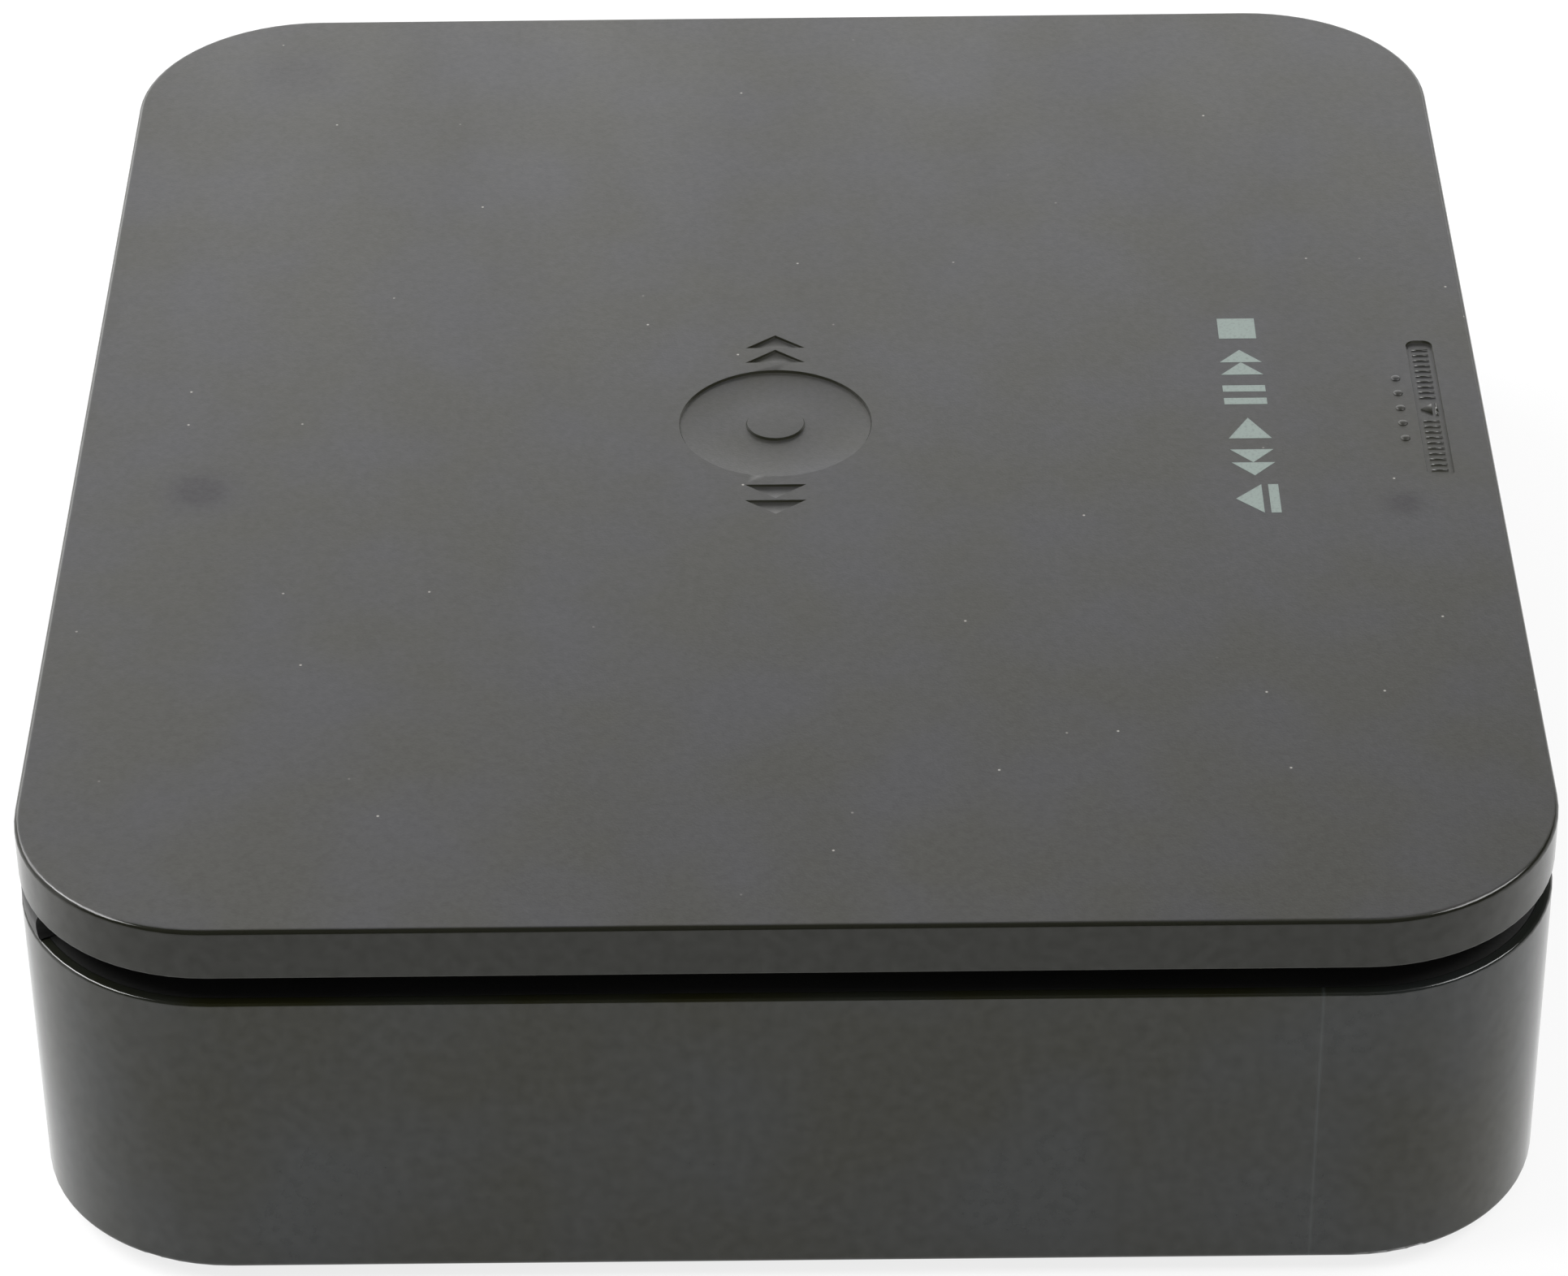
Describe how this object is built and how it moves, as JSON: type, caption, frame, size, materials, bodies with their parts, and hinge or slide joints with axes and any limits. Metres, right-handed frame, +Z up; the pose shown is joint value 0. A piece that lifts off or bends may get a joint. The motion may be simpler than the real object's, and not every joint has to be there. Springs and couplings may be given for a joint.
{
  "type": "disc player",
  "caption": "Compact top-loading disc player: rounded-square case, hinged lid with push latch, spindle, sliding pickup and rear sockets.",
  "frame": {"origin": "under the middle of the case, on the surface that the feet stand on; the disc's axis is the Z axis", "axes": "+Z up, -Y the front with the buttons and the latch, +X the player's right seen from the front"},
  "size_m": [0.198, 0.17, 0.05],
  "materials": {
    "case_plastic": "high-gloss moulded ABS, nearly black",
    "lid_plastic": "fine satin moulded top with glossy edges, dark grey",
    "deck_plastic": "fine-grained black moulding",
    "inner_plastic": "plain black moulding",
    "natural_plastic": "natural white acetal",
    "foot_rubber": "soft black rubber",
    "damper_rubber": "soft dark grey rubber",
    "screw_steel": "black zinc plated steel",
    "pin_steel": "ground steel",
    "spring_steel": "spring wire",
    "sheet_steel": "pressed galvanised sheet",
    "motor_steel": "drawn steel can",
    "die_cast": "die-cast zinc alloy",
    "gold_plate": "plated brass can",
    "lens_glass": "coated moulded lens",
    "ribbon_film": "amber film cable",
    "circuit_board": "green solder mask",
    "chip_epoxy": "black moulded epoxy",
    "can_aluminium": "aluminium can",
    "plated_shell": "nickel plated sheet",
    "yellow_plastic": "yellow moulding",
    "white_plastic": "white moulding",
    "red_plastic": "red moulding",
    "window_acrylic": "dark red-black clear acrylic",
    "lamp_resin": "smoked resin"
  },
  "bodies": {
    "root": {"lower_case": "case_plastic", "deck": "deck_plastic", "rubber_feet": "foot_rubber", "case_screws": "screw_steel", "hinge_pins": "pin_steel", "lid_springs": "spring_steel", "latch_housing": "inner_plastic", "latch_spring": "spring_steel", "inner_screws": "screw_steel", "lid_switch_body": "inner_plastic", "mech_chassis": "sheet_steel", "dampers": "damper_rubber", "chassis_screws": "screw_steel", "guide_rods": "pin_steel", "spindle_motor": "sheet_steel", "feed_motor": "motor_steel", "pickup_ribbon": "ribbon_film", "main_board": "circuit_board", "board_chips": "chip_epoxy", "board_capacitors": "can_aluminium", "phono_block": "inner_plastic", "phono_sleeves": "plated_shell", "phono_insert_yellow": "yellow_plastic", "phono_insert_white": "white_plastic", "phono_insert_red": "red_plastic", "video_socket": "plated_shell", "power_socket": "inner_plastic", "media_socket": "plated_shell", "front_board": "circuit_board", "tact_switches": "inner_plastic", "remote_receiver": "lamp_resin", "status_window": "window_acrylic"},
    "lid": {"lid_shell": "lid_plastic", "lid_liner": "deck_plastic", "liner_screws": "screw_steel", "latch_striker": "inner_plastic", "lid_bumpers": "foot_rubber"},
    "latch_slider": {"latch_slider": "natural_plastic"},
    "latch_jaw_left": {"latch_jaw_left": "natural_plastic"},
    "latch_jaw_right": {"latch_jaw_right": "natural_plastic"},
    "switch_lever": {"lid_switch_lever": "pin_steel"},
    "spindle": {"spindle_rotor": "motor_steel", "turntable": "inner_plastic", "turntable_mat": "damper_rubber", "hub_cap": "inner_plastic"},
    "hub_claw_1": {"hub_claw_1": "natural_plastic"},
    "hub_claw_2": {"hub_claw_2": "natural_plastic"},
    "hub_claw_3": {"hub_claw_3": "natural_plastic"},
    "feed_gear": {"feed_gear": "natural_plastic"},
    "feed_pinion": {"feed_pinion": "natural_plastic"},
    "sled": {"pickup_body": "die_cast", "pickup_rack": "natural_plastic", "pickup_cover": "inner_plastic", "actuator_yoke": "pin_steel", "laser_diode": "gold_plate"},
    "lens": {"lens_holder": "inner_plastic", "objective_lens": "lens_glass"},
    "standby_button": {"standby_button": "case_plastic"},
    "play_button": {"play_button": "case_plastic"},
    "stop_button": {"stop_button": "case_plastic"}
  },
  "joints": [
    {"name": "lid_hinge", "type": "hinge", "parent": "root", "child": "lid", "pos_m": [0, 0.08325, 0.0417], "axis": [-1, 0, 0], "range_deg": [-0.4, 70]},
    {"name": "latch_slide", "type": "slide", "parent": "root", "child": "latch_slider", "axis": [0, 0, 1], "range_m": [0, 0.004], "deforming": ["latch_spring"]},
    {"name": "latch_jaw_left_pivot", "type": "hinge", "parent": "latch_slider", "child": "latch_jaw_left", "pos_m": [-0.004, -0.071, 0.0255], "axis": [0, -1, 0], "range_deg": [-0.1, 10.1]},
    {"name": "latch_jaw_right_pivot", "type": "hinge", "parent": "latch_slider", "child": "latch_jaw_right", "pos_m": [0.004, -0.071, 0.0255], "axis": [0, 1, 0], "range_deg": [-0.1, 10.1]},
    {"name": "switch_lever_pivot", "type": "hinge", "parent": "root", "child": "switch_lever", "pos_m": [0.0666, 0.0654, 0.0343], "axis": [-1, 0, 0], "range_deg": [-0.1, 12.1]},
    {"name": "spindle_spin", "type": "hinge", "parent": "root", "child": "spindle", "pos_m": [0, 0, 0.036], "axis": [0, 0, 1], "continuous": true},
    {"name": "sled_slide", "type": "slide", "parent": "root", "child": "sled", "axis": [1, 0, 0], "range_m": [0, 0.034], "deforming": ["pickup_ribbon"]},
    {"name": "feed_gear_spin", "type": "hinge", "parent": "root", "child": "feed_gear", "pos_m": [0.046, -0.0383, 0.028], "axis": [0, 0, 1], "range_deg": [-433, 0]},
    {"name": "feed_pinion_spin", "type": "hinge", "parent": "root", "child": "feed_pinion", "pos_m": [0.05765, -0.04254, 0.0265], "axis": [0, 0, 1], "range_deg": [0, 1485]},
    {"name": "lens_focus", "type": "slide", "parent": "sled", "child": "lens", "axis": [0, 0, 1], "range_m": [-0.0006, 0.0006], "stiffness_N_per_m": 60},
    {"name": "hub_claw_1_slide", "type": "slide", "parent": "spindle", "child": "hub_claw_1", "axis": [-1, 0, 0], "range_m": [0, 0.0006], "stiffness_N_per_m": 200},
    {"name": "hub_claw_2_slide", "type": "slide", "parent": "spindle", "child": "hub_claw_2", "axis": [0.5, -0.866, 0], "range_m": [0, 0.0006], "stiffness_N_per_m": 200},
    {"name": "hub_claw_3_slide", "type": "slide", "parent": "spindle", "child": "hub_claw_3", "axis": [0.5, 0.866, 0], "range_m": [0, 0.0006], "stiffness_N_per_m": 200},
    {"name": "standby_press", "type": "slide", "parent": "root", "child": "standby_button", "axis": [0, 1, 0], "range_m": [0, 0.0006], "stiffness_N_per_m": 800},
    {"name": "play_press", "type": "slide", "parent": "root", "child": "play_button", "axis": [0, 1, 0], "range_m": [0, 0.0006], "stiffness_N_per_m": 800},
    {"name": "stop_press", "type": "slide", "parent": "root", "child": "stop_button", "axis": [0, 1, 0], "range_m": [0, 0.0006], "stiffness_N_per_m": 800}
  ],
  "couplings": [
    {"joint": "latch_jaw_left_pivot", "follows": "latch_slide", "rad_per_m": 43.633},
    {"joint": "latch_jaw_right_pivot", "follows": "latch_slide", "rad_per_m": 43.633},
    {"joint": "switch_lever_pivot", "follows": "lid_hinge", "ratio": 0.17045},
    {"joint": "feed_gear_spin", "follows": "sled_slide", "rad_per_m": -222.22},
    {"joint": "feed_pinion_spin", "follows": "sled_slide", "rad_per_m": 761.9}
  ]
}
